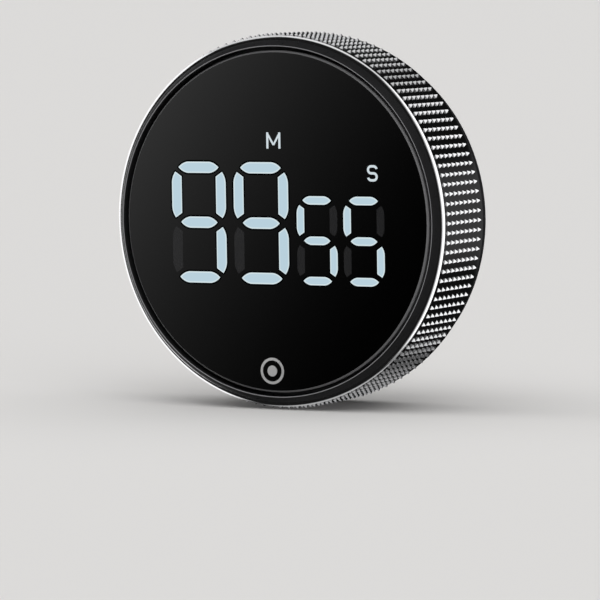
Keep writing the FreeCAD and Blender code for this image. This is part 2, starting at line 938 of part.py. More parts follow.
def tact_switch():
    """Push switch under the start mark: a square body with a bore, and its plunger."""
    body = centred_block("switch_case", 0, -dim.switch_z, dim.switch_side, dim.switch_side,
                         dim.board_front, dim.switch_front)
    bore = post("switch_bore", dim.plunger_radius + dim.play,
                dim.plunger_back - dim.press_travel - dim.room,
                dim.switch_front + dim.overrun, z=-dim.switch_z)
    finish(cut("switch_case_bored", body, bore), "tact_switch_body")
    plunger = post("switch_plunger", dim.plunger_radius, dim.plunger_back, dim.plunger_front,
                   z=-dim.switch_z)
    finish(plunger, "tact_switch_plunger")


# ---- middle housing ----------------------------------------------------------------------


def middle_housing():
    """Chassis: bearing land and flange for the ring, cup for the board, skirt, battery bay."""
    body = new_body("middle_housing")
    revolve(body, "housing_turning", [
        (0, dim.floor_back),
        (dim.skirt_inner, dim.floor_back),
        (dim.skirt_inner, dim.skirt_back),
        (dim.skirt_outer, dim.skirt_back),
        (dim.skirt_outer, dim.step_depth),
        (dim.land_radius, dim.step_depth),
        (dim.land_radius, dim.flange_back),
        (dim.flange_radius, dim.flange_back),
        (dim.flange_radius, dim.cup_front),
        (dim.cup_inner, dim.cup_front),
        (dim.cup_inner, dim.floor_front),
        (0, dim.floor_front),
    ])
    half_length, half_width = dim.bay_length / 2, dim.bay_width / 2
    walls = face_sketch(body, "bay_outline", dim.bay_back)
    add_rectangle(walls, -(half_length + dim.bay_wall), half_length + dim.bay_wall,
                  -(half_width + dim.bay_wall), half_width + dim.bay_wall)
    add_rectangle(walls, -half_length, half_length, -half_width, half_width)
    pad(body, "bay_walls", walls, dim.floor_back - dim.bay_back)
    bosses = face_sketch(body, "rear_boss_outline", dim.skirt_back)
    for x, z in corners(dim.rear_screw_x, dim.rear_screw_z):
        add_circle(bosses, x, z, dim.rear_boss_radius)
    pad(body, "rear_bosses", bosses, dim.floor_back - dim.skirt_back)
    rises = face_sketch(body, "standoff_outline", dim.floor_front)
    for x, z in corners(dim.board_screw_x, dim.board_screw_x):
        add_circle(rises, x, z, dim.standoff_radius)
    pad(body, "standoffs", rises, dim.board_back - dim.floor_front)
    drill_housing(body)
    finish(body, "middle_housing")


def drill_housing(body):
    """Screw holes, and the openings for the encoder, pinion, buzzer, switch and contacts."""
    screws = face_sketch(body, "rear_screw_holes", dim.skirt_back + dim.rear_screw_depth)
    for x, z in corners(dim.rear_screw_x, dim.rear_screw_z):
        add_circle(screws, x, z, dim.screw_radius)
    pocket(body, "rear_screw_bores", screws, dim.rear_screw_depth + dim.play)
    holes = face_sketch(body, "board_screw_holes", dim.board_back + dim.play)
    for x, z in corners(dim.board_screw_x, dim.board_screw_x):
        add_circle(holes, x, z, dim.screw_radius)
    pocket(body, "board_screw_bores", holes, dim.board_screw_depth + dim.play)
    tooth_room = face_sketch(body, "pinion_room", dim.encoder_body_back)
    add_circle(tooth_room, 0, pinion_height, dim.pinion_tip_radius + dim.opening_margin)
    pocket(body, "pinion_pocket", tooth_room,
           dim.encoder_body_back - dim.encoder_shaft_back + dim.room)
    through = face_sketch(body, "floor_openings", dim.floor_front + dim.play)
    add_circle(through, 0, pinion_height, dim.encoder_body_radius + dim.opening_margin)
    add_circle(through, -dim.buzzer_x, -dim.buzzer_z, dim.buzzer_radius + dim.opening_margin)
    half_length = dim.volume_body_length / 2 + dim.opening_margin
    half_width = dim.volume_body_width / 2 + dim.opening_margin
    add_rectangle(through, -half_length, half_length,
                  -(dim.slider_z + half_width), -(dim.slider_z - half_width))
    pocket(body, "floor_windows", through, dim.floor_front - dim.encoder_body_back + dim.play)
    slots = face_sketch(body, "contact_slots", dim.floor_front + dim.play)
    add_contact_slots(slots)
    pocket(body, "contact_slot_cuts", slots, dim.floor_front - dim.floor_back + dim.play * 2)


def add_contact_slots(sketch):
    """Slots at both ends of each cell, where the tails of the contacts pass through."""
    half_slot = dim.contact_tail_width / 2 + dim.loose_play
    for row in (-1, 0, 1):
        z = row * dim.cell_pitch
        for side in (-1, 1):
            inner = side * (dim.bay_length / 2 - dim.contact_thickness - dim.loose_play)
            outer = side * (dim.bay_length / 2 + dim.fine_play)
            left, right = (inner, outer) if side > 0 else (outer, inner)
            add_rectangle(sketch, left, right, z - half_slot, z + half_slot)


# ---- rear of the timer -------------------------------------------------------------------


def rear_shell():
    """Black rear case: rounded rim, groove for the grip ring, door opening, slider recess."""
    body = new_body("rear_shell")
    groove_floor = dim.shell_back + dim.groove_depth
    wall = dim.shell_radius - dim.shell_wall
    revolve(body, "shell_turning", [
        (0, dim.shell_back),
        (dim.groove_inner, dim.shell_back),
        (dim.groove_inner, groove_floor),
        (dim.groove_outer, groove_floor),
        (dim.groove_outer, dim.shell_back),
        (dim.shell_radius, dim.shell_back),
        (dim.shell_radius, dim.shell_front),
        (wall, dim.shell_front),
        (wall, dim.shell_floor),
        (0, dim.shell_floor),
    ])
    opening = face_sketch(body, "door_opening_outline", dim.shell_floor + dim.play)
    half_length = dim.door_length / 2 + dim.door_fit
    half_width = dim.door_width / 2 + dim.door_fit
    add_rectangle(opening, -half_length, half_length, -half_width, half_width)
    pocket(body, "door_opening", opening, dim.shell_floor)
    holes = face_sketch(body, "rear_screw_clearance", dim.shell_floor + dim.play)
    for x, z in corners(dim.rear_screw_x, dim.rear_screw_z):
        add_circle(holes, x, z, dim.screw_radius + dim.loose_play)
    half_slot = dim.slider_stem_length / 2 + dim.slider_travel + dim.slider_clearance
    half_slot_width = dim.slider_stem_width / 2 + dim.slider_clearance
    add_rectangle(holes, -half_slot, half_slot,
                  -(dim.slider_z + half_slot_width), -(dim.slider_z - half_slot_width))
    pocket(body, "rear_through_holes", holes, dim.shell_floor)
    recesses = face_sketch(body, "head_recess_outline", dim.shell_back + dim.head_recess_depth)
    for x, z in corners(dim.rear_screw_x, dim.rear_screw_z):
        add_circle(recesses, x, z, dim.head_recess_radius)
    pocket(body, "head_recesses", recesses, dim.shell_floor)
    half_recess = dim.slider_cap_length / 2 + dim.slider_travel + dim.slider_clearance
    half_recess_width = dim.slider_cap_width / 2 + dim.slider_clearance
    track = face_sketch(body, "slider_recess_outline", dim.slider_recess_front)
    add_rectangle(track, -half_recess, half_recess,
                  -(dim.slider_z + half_recess_width), -(dim.slider_z - half_recess_width))
    pocket(body, "slider_recess", track, dim.shell_floor)
    seats = face_sketch(body, "magnet_seat_outline", dim.magnet_front)
    for x, z in corners(dim.magnet_x, dim.magnet_z):
        add_circle(seats, x, z, dim.magnet_pocket_radius)
    pocket(body, "magnet_seats", seats, dim.shell_floor)
    dress(body, "shell_edge_rounding", "PartDesign::Fillet", dim.shell_rounding,
          lambda edge: is_rim(edge, dim.shell_radius, dim.shell_back))
    dress(body, "door_opening_corners", "PartDesign::Fillet", dim.door_corner + dim.door_fit,
          lambda edge: is_corner(edge, dim.shell_back, dim.shell_floor, half_width.value))
    finish(body, "rear_shell")


def grip_ring():
    """Soft ring in the rear groove, which touches the wall."""
    body = new_body("grip_ring")
    inner, outer = dim.groove_inner + dim.grip_fit, dim.groove_outer - dim.grip_fit
    floor = dim.shell_back + dim.groove_depth
    revolve(body, "grip_turning", [(inner, 0), (outer, 0), (outer, floor), (inner, floor)])
    finish(body, "grip_ring")


def magnets():
    discs = []
    for number, (x, z) in enumerate(corners(dim.magnet_x, dim.magnet_z), start=1):
        discs.append(post(f"magnet_disc_{number}", dim.magnet_radius, dim.magnet_back,
                          dim.magnet_front, x, z))
    finish(group("magnet_set", discs), "magnets")


def glide_ring():
    """Thin slippery washer between the rear case and the turning ring."""
    body = new_body("glide_ring")
    revolve(body, "glide_turning", [
        (dim.glide_inner, dim.shell_front),
        (dim.glide_outer, dim.shell_front),
        (dim.glide_outer, dim.glide_front),
        (dim.glide_inner, dim.glide_front),
    ])
    finish(body, "glide_ring")


def screw(name, x, z, head_back, head_front, tip, slot_from_back):
    """A small screw along the axis.  Its head has a cross recess on the side given."""
    head = post(name + "_head", dim.head_radius, head_back, head_front, x, z)
    low, high = (head_back, tip) if slot_from_back else (tip, head_front)
    shank = post(name + "_shank", dim.screw_radius - dim.fine_play, low, high, x, z)
    whole = fuse(name + "_blank", [head, shank])
    face = head_back if slot_from_back else head_front
    low, high = face - dim.cross_depth, face + dim.cross_depth
    arm, width = dim.cross_length, dim.cross_width
    cross = fuse(name + "_cross", [
        centred_block(name + "_arm_a", x, z, arm, width, low, high),
        centred_block(name + "_arm_b", x, z, width, arm, low, high),
    ])
    return cut(name, whole, cross)


def rear_screws():
    head_back = dim.shell_back + dim.play
    head_front = dim.shell_back + dim.head_recess_depth
    screws = []
    for number, (x, z) in enumerate(corners(dim.rear_screw_x, dim.rear_screw_z), start=1):
        screws.append(screw(f"rear_screw_{number}", x, z, head_back, head_front,
                            head_front + dim.rear_screw_length, True))
    finish(group("rear_screw_set", screws), "rear_screws")


def battery_door():
    """Flat door with rounded corners and a notch for a finger nail."""
    body = new_body("battery_door")
    outline = face_sketch(body, "door_outline", dim.shell_back)
    half_length, half_width = dim.door_length / 2, dim.door_width / 2
    add_rectangle(outline, -half_length, half_length, -half_width, half_width)
    pad(body, "door_plate", outline, dim.door_front - dim.shell_back)
    notch = face_sketch(body, "door_notch_outline", dim.shell_back + dim.notch_depth)
    half_notch = dim.notch_length / 2
    add_rectangle(notch, -half_notch, half_notch,
                  half_width - dim.notch_width, half_width + dim.overrun)
    pocket(body, "door_notch", notch, dim.notch_depth + dim.play)
    dress(body, "door_corners", "PartDesign::Fillet", dim.door_corner,
          lambda edge: is_corner(edge, dim.shell_back, dim.door_front, half_width.value))
    finish(body, "battery_door")


# ---- volume slider -----------------------------------------------------------------------


def volume_slider():
    """Rear slider: a ribbed cap in its recess, and a stem whose fork drives the lever."""
    z = -dim.slider_z
    cap = centred_block("slider_cap", 0, z, dim.slider_cap_length, dim.slider_cap_width,
                        dim.slider_cap_back, dim.slider_cap_front)
    grooves = [
        centred_block(f"slider_groove_{number}", dim.slider_groove_pitch * (number - 2), z,
                      dim.slider_groove_width, dim.slider_cap_width * 2,
                      dim.slider_cap_back - dim.overrun,
                      dim.slider_cap_back + dim.slider_groove_depth)
        for number in range(5)
    ]
    ribbed = cut("slider_cap_ribbed", cap, group("slider_grooves", grooves))
    stem = centred_block("slider_stem", 0, z, dim.slider_stem_length, dim.slider_stem_width,
                         dim.slider_cap_front, dim.slider_stem_front)
    fork_gap = centred_block("slider_fork_gap", 0, z, dim.lever_length + dim.play,
                             dim.slider_stem_width * 2, dim.slider_fork_back,
                             dim.slider_stem_front + dim.overrun)
    forked = cut("slider_forked_stem", stem, fork_gap)
    finish(fuse("slider_whole", [ribbed, forked]), "volume_slider")


def volume_switch():
    """Slide switch under the board, and the lever that the slider's fork moves."""
    z = -dim.slider_z
    case = centred_block("volume_case", 0, z, dim.volume_body_length, dim.volume_body_width,
                         dim.volume_body_back, dim.board_back)
    slot = centred_block("volume_slot", 0, z,
                         dim.lever_length + (dim.slider_travel + dim.room) * 2,
                         dim.lever_width + dim.room * 2,
                         dim.volume_body_back - dim.overrun, dim.lever_front + dim.room)
    finish(cut("volume_case_slotted", case, slot), "volume_switch_body")
    lever = centred_block("volume_lever", 0, z, dim.lever_length, dim.lever_width,
                          dim.lever_back, dim.lever_front)
    finish(lever, "volume_switch_lever")


# ---- electronics -------------------------------------------------------------------------


def main_board():
    body = new_body("main_board")
    outline = face_sketch(body, "board_outline", dim.board_back)
    add_circle(outline, 0, 0, dim.board_radius)
    for x, z in corners(dim.board_screw_x, dim.board_screw_x):
        add_circle(outline, x, z, dim.screw_radius + dim.play)
    add_contact_slots(outline)
    pad(body, "board_plate", outline, dim.board_front - dim.board_back)
    finish(body, "main_board")


def controller_chip():
    """Flat square chip above the digits, with a small pin-one dimple."""
    top = dim.board_front + dim.chip_height
    case = centred_block("chip_case", 0, dim.chip_z, dim.chip_side, dim.chip_side,
                         dim.board_front, top)
    corner = dim.chip_dimple_offset
    dimple = post("chip_dimple", dim.chip_dimple_radius, top - dim.play, top + dim.overrun,
                  -corner, dim.chip_z + corner)
    finish(cut("chip_marked", case, dimple), "controller_chip")


def board_components():
    """Small capacitors and resistors beside the chip, and one crystal."""
    blocks = []

    def add(name, kind, x, z):
        length, width = getattr(dim, kind + "_length"), getattr(dim, kind + "_width")
        top = dim.board_front + getattr(dim, kind + "_height")
        blocks.append(centred_block(name, x, z, length, width, dim.board_front, top))

    for side in (-1, 1):
        for number in range(3):
            x = side * (dim.component_first_x + dim.component_pitch * number)
            add(f"capacitor_{side + 1}_{number}", "capacitor", x, dim.chip_z + dim.component_offset)
            add(f"resistor_{side + 1}_{number}", "resistor", x, dim.chip_z - dim.component_offset)
    add("crystal", "crystal", 0, dim.crystal_z)
    finish(group("component_set", blocks), "board_components")


def board_screws():
    screws = []
    for number, (x, z) in enumerate(corners(dim.board_screw_x, dim.board_screw_x), start=1):
        screws.append(screw(f"board_screw_{number}", x, z, dim.board_front,
                            dim.board_front + dim.board_head_height,
                            dim.floor_back + dim.play * 2, False))
    finish(group("board_screw_set", screws), "board_screws")


def led_chips():
    """One small light source in each well of the display block."""
    minutes, seconds, unlit = digit_faces()
    lights = []
    for number, face in enumerate(minutes + seconds + unlit, start=1):
        centre = face.CenterOfMass
        tall = face.BoundBox.ZLength > face.BoundBox.XLength
        length, width = dim.led_length, dim.led_width
        if tall:
            length, width = width, length
        lights.append(centred_block(f"led_{number}", centre.x, centre.z, length, width,
                                    dim.board_front, dim.board_front + dim.led_height))
    finish(group("led_set", lights), "led_chips")


def display_block():
    """Opaque block behind the panel, with a light well for each segment and guide bores."""
    plate = post("block_plate", dim.block_radius, dim.block_back, dim.block_front)
    core = block("block_core", -dim.core_half_length, dim.core_half_length, dim.board_front,
                 dim.block_back, -dim.core_half_height, dim.core_half_height)
    whole = fuse("block_blank", [plate, core])
    minutes, seconds, unlit = digit_faces()
    below, above = dim.board_front - dim.overrun, dim.block_front + dim.overrun
    tools = [prisms("block_wells", minutes + seconds + unlit, below, above)]
    for number, (x, z) in enumerate(corners(dim.snap_x, dim.snap_z), start=1):
        tools.append(post(f"guide_bore_{number}", dim.snap_post_radius + dim.post_clearance,
                          below, above, x, z))
    tools.append(post("switch_window", dim.switch_boss_radius + dim.opening_margin, below, above,
                      z=-dim.switch_z))
    for name, x, z in (
        ("minute_letter_well", -dim.minute_letter_x, dim.minute_letter_z),
        ("second_letter_well", dim.second_letter_x, dim.second_letter_z),
    ):
        tools.append(post(name, dim.letter_height / 2 + dim.room, below, above, x, z))
    finish(cut("block_with_wells", whole, group("block_cuts", tools)), "display_block")


def diffuser_film():
    """Thin milky film over the light wells, with a tab under the minute letter."""
    body = new_body("diffuser_film")
    side, top, tab = dim.film_half_length, dim.film_half_height, dim.film_tab_half_length
    outline = face_sketch(body, "film_outline", dim.block_front)
    add_polygon(outline, [
        (-side, -top), (side, -top), (side, top), (tab, top), (tab, dim.film_tab_top),
        (-tab, dim.film_tab_top), (-tab, top), (-side, top),
    ])
    pad(body, "film_sheet", outline, dim.film_front - dim.block_front)
    finish(body, "diffuser_film")


def buzzer():
    can = post("buzzer_can", dim.buzzer_radius, dim.buzzer_back, dim.board_back,
               -dim.buzzer_x, -dim.buzzer_z)
    hole = post("buzzer_hole", dim.buzzer_hole_radius, dim.buzzer_back - dim.overrun,
                dim.buzzer_back + dim.buzzer_hole_depth, -dim.buzzer_x, -dim.buzzer_z)
    finish(cut("buzzer_can_holed", can, hole), "buzzer")


# ---- power -------------------------------------------------------------------------------


def battery(number, row, facing):
    """A cylindrical cell across the bay.  facing is +1 when its positive end is at +X."""
    turn = FreeCAD.Rotation(FreeCAD.Vector(0, 1, 0), 90 * facing)
    z = row * dim.cell_pitch
    start = -facing * (dim.cell_length / 2)
    can = doc.addObject("Part::Cylinder", f"cell_can_{number}")
    bind(can, "Radius", dim.cell_radius)
    bind(can, "Height", dim.cell_length)
    place(can, start, -dim.cell_depth, z, turn)
    rounded = doc.addObject("Part::Chamfer", f"cell_edges_{number}")
    rounded.Base = can
    doc.recompute()
    ends = [i for i, e in enumerate(can.Shape.Edges, start=1) if len(e.Vertexes) == 1]
    rounded.Edges = [(i, SIZES["cell_edge"], SIZES["cell_edge"]) for i in ends]
    nub = doc.addObject("Part::Cylinder", f"cell_nub_{number}")
    bind(nub, "Radius", dim.cell_nub_radius)
    bind(nub, "Height", dim.cell_nub_length)
    place(nub, facing * (dim.cell_length / 2), -dim.cell_depth, z, turn)
    finish(fuse(f"cell_{number}", [rounded, nub]), f"battery_{number}")


def contacts():
    """Leaf springs at the negative ends and flat plates at the positive ends of the cells."""
    leaves, plates = [], []
    wall = dim.bay_length / 2 - dim.fine_play
    for row, facing in ((-1, 1), (0, -1), (1, 1)):
        z = row * dim.cell_pitch
        for kind, side, store in (("plate", facing, plates), ("leaf", -facing, leaves)):
            name = f"{kind}_{row + 2}"
            near_wall = side * wall
            inner = side * (wall - dim.contact_thickness)
            left, right = (inner, near_wall) if side > 0 else (near_wall, inner)
            half_width, low = dim.contact_width / 2, dim.cell_depth - dim.contact_height / 2
            sheet = block(name + "_sheet", left, right, low, low + dim.contact_height,
                          z - half_width, z + half_width)
            half_tail = dim.contact_tail_width / 2
            tail = block(name + "_tail", left, right, low + dim.contact_height,
                         dim.board_front - dim.play, z - half_tail, z + half_tail)
            solids = [sheet, tail]
            if kind == "leaf":
                solids.append(leaf_spring(name, side, inner.value, z))
            store.append(fuse(name, solids))
    finish(group("plate_set", plates), "battery_plate_contacts")
    finish(group("leaf_set", leaves), "battery_leaf_contacts")


def leaf_spring(name, side, wall_x, z):
    """A bowed strip between the contact sheet and the flat end of a cell."""
    reach = (SIZES["bay_length"] - SIZES["cell_length"]) / 2 - SIZES["leaf_gap"]
    depth, thick, foot = SIZES["cell_depth"], SIZES["contact_thickness"], -SIZES["play"]
    outer_height = SIZES["leaf_half_height"]
    inner_height = outer_height - 2 * thick

    def point(inward, rise):
        return FreeCAD.Vector(wall_x - side * inward, -(depth + rise), 0)

    outer = Part.Arc(point(foot, outer_height), point(reach, 0), point(foot, -outer_height))
    inner = Part.Arc(point(foot, inner_height), point(reach - thick, 0),
                     point(foot, -inner_height))
    edges = [
        outer.toShape(),
        Part.LineSegment(outer.EndPoint, inner.EndPoint).toShape(),
        inner.toShape(),
        Part.LineSegment(inner.StartPoint, outer.StartPoint).toShape(),
    ]
    face = Part.Face(Part.Wire(Part.__sortEdges__(edges)))
    strip = face.extrude(FreeCAD.Vector(0, 0, SIZES["leaf_width"]))
    return solid_feature(name + "_bow", strip, 0.0, z - dim.leaf_width / 2)


# ---- build, check and write --------------------------------------------------------------


def build():
    knurled_sleeve()
    front_bezel()
    knob_carrier()
    encoder_gear()
    encoder_body()
    front_lens()
    press_frame()
    return_foam()
    tact_switch()
    middle_housing()
    rear_shell()
    grip_ring()
    magnets()
    glide_ring()
    rear_screws()
    battery_door()
    volume_slider()
    volume_switch()
    main_board()
    controller_chip()
    board_components()
    board_screws()
    led_chips()
    display_block()
    diffuser_film()
    buzzer()
    for number, (row, facing) in enumerate(((-1, 1), (0, -1), (1, 1)), start=1):
        battery(number, row, facing)
    contacts()


def check():
    """Stops if any object failed or any sub-part isn't a valid solid."""
    for thing in doc.Objects:
        if "Invalid" in thing.State or "Error" in thing.State:
            raise RuntimeError(f"{thing.Name} failed: {thing.State}")
    for thing in subparts:
        shape = thing.Shape
        if shape.isNull() or not shape.isValid() or not shape.Solids:
            raise RuntimeError(f"{thing.Label} has no valid solid")


def write():
    os.makedirs("parts", exist_ok=True)
    for thing in subparts:
        thing.Shape.exportStep(f"parts/{thing.Label}.step")
        print(f"{thing.Label}: {len(thing.Shape.Solids)} solids, {thing.Shape.Volume:.1f} mm3")


build()
doc.recompute()
check()
write()
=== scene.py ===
"""Looks of a round magnetic kitchen timer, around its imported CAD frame. Lengths are in metres."""

import json
import math

import bmesh
import bpy
from mathutils import Matrix, Vector


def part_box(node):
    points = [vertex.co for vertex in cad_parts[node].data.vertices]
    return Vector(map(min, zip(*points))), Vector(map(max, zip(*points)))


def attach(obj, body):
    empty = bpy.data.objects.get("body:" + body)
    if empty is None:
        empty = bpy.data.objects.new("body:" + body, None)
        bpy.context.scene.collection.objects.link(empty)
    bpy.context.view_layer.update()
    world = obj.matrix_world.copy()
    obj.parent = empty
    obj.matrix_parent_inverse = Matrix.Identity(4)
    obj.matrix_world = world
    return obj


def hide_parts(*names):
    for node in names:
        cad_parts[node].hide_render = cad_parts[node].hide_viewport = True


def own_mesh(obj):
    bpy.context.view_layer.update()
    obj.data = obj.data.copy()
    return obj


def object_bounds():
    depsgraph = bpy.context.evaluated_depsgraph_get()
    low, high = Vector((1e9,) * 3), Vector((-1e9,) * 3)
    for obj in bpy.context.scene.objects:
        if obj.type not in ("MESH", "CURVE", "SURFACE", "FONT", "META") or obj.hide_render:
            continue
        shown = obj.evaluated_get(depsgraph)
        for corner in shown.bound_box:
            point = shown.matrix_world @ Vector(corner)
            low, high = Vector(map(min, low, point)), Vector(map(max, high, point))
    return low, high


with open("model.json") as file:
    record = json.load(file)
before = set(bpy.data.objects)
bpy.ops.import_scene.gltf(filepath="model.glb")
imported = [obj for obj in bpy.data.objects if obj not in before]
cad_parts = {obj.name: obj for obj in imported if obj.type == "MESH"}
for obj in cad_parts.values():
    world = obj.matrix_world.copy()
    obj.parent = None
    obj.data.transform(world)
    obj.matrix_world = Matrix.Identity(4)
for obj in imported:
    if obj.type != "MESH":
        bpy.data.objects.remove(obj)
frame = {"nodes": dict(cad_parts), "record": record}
cad_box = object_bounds()

MM = 0.001
WHOLE_TURN = 2.0 * math.pi

# The ring, from the CAD solids that it stands for. Depth is measured from the wall, along -Y.
SLEEVE_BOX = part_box("knurled_sleeve")
BEZEL_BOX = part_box("front_bezel")
CREST_RADIUS = SLEEVE_BOX[1].x
SLEEVE_BACK = -SLEEVE_BOX[1].y
SLEEVE_FRONT = -SLEEVE_BOX[0].y
KNURL_HEIGHT = 0.56 * MM
RIM_RADIUS = CREST_RADIUS - KNURL_HEIGHT
RIM_SHOULDER = SLEEVE_FRONT - 0.4 * MM
RIM_EDGE = 0.08 * MM
RIM_CROWN = math.radians(19.0)
BACK_CORNER = 0.12 * MM
BORE_RADIUS = 37.5 * MM
BEZEL_RADIUS = BEZEL_BOX[1].x
BEZEL_BACK = -BEZEL_BOX[1].y
BEZEL_FRONT = -BEZEL_BOX[0].y
BEZEL_BORE = 36.71 * MM
BEZEL_FLANGE = SLEEVE_FRONT - 0.5 * MM
LIP_WIDTH = 0.12 * MM
LIP_DROP = 0.1 * MM

# Where the painted highlights on the bezel's inner edge and on the panel's edge start, and how
# softly.
BEZEL_EDGE_RADIUS = 36.9 * MM
BEZEL_EDGE_DEPTH = 0.13 * MM
LENS_EDGE_RADIUS = 35.45 * MM
EDGE_FADE = 0.03 * MM
LENS_BLACK = (0.0002, 0.0002, 0.0002)

# The knurl: square pyramids in rows round the ring. The lands between are level with the rim.
# KNURL_HALF and KNURL_TOP are half the width of a pyramid's base and of its worn tip.
KNURL_COUNT = 122
KNURL_ROWS = 8
KNURL_PITCH = 2.014 * MM
KNURL_FIRST = 8.35 * MM
KNURL_HALF = 0.47 * MM
KNURL_TOP = 0.09 * MM

# How finely round shapes are cut, and the angle past which an edge stays sharp.
ROUND_STEPS = 2 * KNURL_COUNT
CORNER_STEPS = 4
CROWN_STEPS = 8
SHARP_ANGLE = math.radians(30.0)

# The foam ring: its width and the radii of its rounded back and front corners.
FOAM_WIDTH = 2.0 * MM
FOAM_BACK_CORNER = 0.15 * MM
FOAM_FRONT_CORNER = 0.35 * MM

# A lit window has a brighter border, and a thin black line printed round it.
BORDER_WIDTH = 0.27 * MM
OUTLINE_WIDTH = 0.36 * MM
OUTLINE_HEIGHT = 0.01 * MM
BORDER_SLOT = 1
OUTLINE_SLOT = 2

# The view, from the right and a little above. The camera aims off the centre of the ring's rim.
CAMERA_AZIMUTH = math.radians(28.43)
CAMERA_ELEVATION = math.radians(4.77)
CAMERA_TWIST = math.radians(1.0)
CAMERA_DISTANCE = 0.904
CAMERA_LENS = 259.0
AIM_DEPTH = 24.6 * MM
AIM_RIGHT = 4.7 * MM
AIM_UP = -16.4 * MM

# The studio: the floor, soft boxes of light, and the levels of the other lights. A box has a
# level, azimuths and elevations in degrees. Surroundings says where the angles start.
FLOOR_GAP = 0.05 * MM
FLOOR_REACH = 30.0
FLOOR_COLOUR = (0.72, 0.71, 0.70)
SOFT_BOXES = (
    (1.3, (-110.0, -66.0), (-48.0, 38.0)),
    (0.8, (-94.0, -45.0), (38.0, 66.0)),
    (0.9, (-64.0, 60.0), (50.0, 78.0)),
    (0.8, (86.0, 100.0), (-30.0, 62.0)),
    (0.35, (100.0, 136.0), (28.0, 62.0)),
)
BOX_SOFTNESS = 4.0
LEFT_LEVEL = 1.5
RIGHT_LEVEL = 1.6
BELOW_LEVEL = 0.5
BEHIND_LEVEL = 0.09
DARKEST_LEVEL = 0.01
SUN_STRENGTH = 1.9
SUN_SPREAD = 110.0


# ---------------------------------------------------------------- materials


class Nodes:
    """Short ways to add and join the nodes of one shader tree."""

    def __init__(self, tree):
        self.tree = tree

    def node(self, kind, **settings):
        made = self.tree.nodes.new(kind)
        for key, value in settings.items():
            setattr(made, key, value)
        return made

    def feed(self, socket, value):
        if isinstance(value, bpy.types.NodeSocket):
            self.tree.links.new(value, socket)
        else:
            socket.default_value = value

    def math(self, operation, first, second=0.0):
        made = self.node("ShaderNodeMath", operation=operation)
        self.feed(made.inputs[0], first)
        self.feed(made.inputs[1], second)
        return made.outputs["Value"]

    def remap(self, value, low, high, to_low=0.0, to_high=1.0, shape="LINEAR"):
        made = self.node("ShaderNodeMapRange", interpolation_type=shape)
        self.feed(made.inputs["Value"], value)
        made.inputs["From Min"].default_value = low
        made.inputs["From Max"].default_value = high
        made.inputs["To Min"].default_value = to_low
        made.inputs["To Max"].default_value = to_high
        return made.outputs["Result"]

    def mix(self, share, first, second):
        made = self.node("ShaderNodeMix", data_type="RGBA")
        self.feed(made.inputs["Factor"], share)
        self.feed(made.inputs[6], (*first, 1.0) if isinstance(first, (tuple, list)) else first)
        self.feed(made.inputs[7], (*second, 1.0) if isinstance(second, (tuple, list)) else second)
        return made.outputs[2]


class Look(Nodes):
    """A Principled material and the nodes that vary it over the surface, in metres."""

    def __init__(self, name, colour, roughness, metallic=0.0):
        self.material = bpy.data.materials.new(name)
        self.material.use_nodes = True
        super().__init__(self.material.node_tree)
        self.shader = self.tree.nodes["Principled BSDF"]
        self.shader.inputs["Base Color"].default_value = (*colour, 1.0)
        self.shader.inputs["Roughness"].default_value = roughness
        self.shader.inputs["Metallic"].default_value = metallic
        self.place = self.node("ShaderNodeTexCoord").outputs["Object"]

    def noise(self, size):
        """Soft noise from 0 to 1 whose blotches are about size across."""
        scaled = self.node("ShaderNodeMapping")
        self.feed(scaled.inputs["Vector"], self.place)
        scaled.inputs["Scale"].default_value = [1.0 / size] * 3
        made = self.node("ShaderNodeTexNoise")
        self.feed(made.inputs["Vector"], scaled.outputs["Vector"])
        made.inputs["Scale"].default_value = 1.0
        made.inputs["Detail"].default_value = 2.0
        return made.outputs["Fac"]

    def axis_radius(self):
        """Distance from the timer's axis."""
        across = self.node("ShaderNodeVectorMath", operation="MULTIPLY")
        self.feed(across.inputs[0], self.place)
        across.inputs[1].default_value = (1.0, 0.0, 1.0)
        length = self.node("ShaderNodeVectorMath", operation="LENGTH")
        self.feed(length.inputs[0], across.outputs["Vector"])
        return length.outputs["Value"]

    def along(self, letter):
        split = self.node("ShaderNodeSeparateXYZ")
        self.feed(split.inputs["Vector"], self.place)
        return split.outputs[letter]

    def colour(self, value):
        self.feed(self.shader.inputs["Base Color"], value)

    def roughness(self, value):
        self.feed(self.shader.inputs["Roughness"], value)

    def bump(self, height, depth):
        made = self.node("ShaderNodeBump")
        made.inputs["Strength"].default_value = 1.0
        made.inputs["Distance"].default_value = depth
        self.feed(made.inputs["Height"], height)
        self.feed(self.shader.inputs["Normal"], made.outputs["Normal"])


def knurled_metal():
    """Dark chrome, brighter on the pyramids where hands rub it, with a fine grain."""
    look = Look("knurled_metal", (0.30, 0.30, 0.31), 0.22, metallic=1.0)
    wear = look.remap(look.axis_radius(), RIM_RADIUS + 0.02 * MM, RIM_RADIUS + 0.14 * MM)
    blotches = look.noise(3.0 * MM)
    look.colour(look.mix(wear, (0.4, 0.4, 0.405), (0.64, 0.64, 0.65)))
    look.roughness(look.remap(blotches, 0.3, 0.7, 0.06, 0.12))
    look.bump(look.noise(0.12 * MM), 0.004 * MM)
    return look.material


def polished_rim():
    """Bright chrome of the ring's turned front edge."""
    look = Look("polished_rim", (0.82, 0.82, 0.83), 0.1, metallic=1.0)
    look.roughness(look.remap(look.noise(2.0 * MM), 0.3, 0.7, 0.08, 0.16))
    return look.material


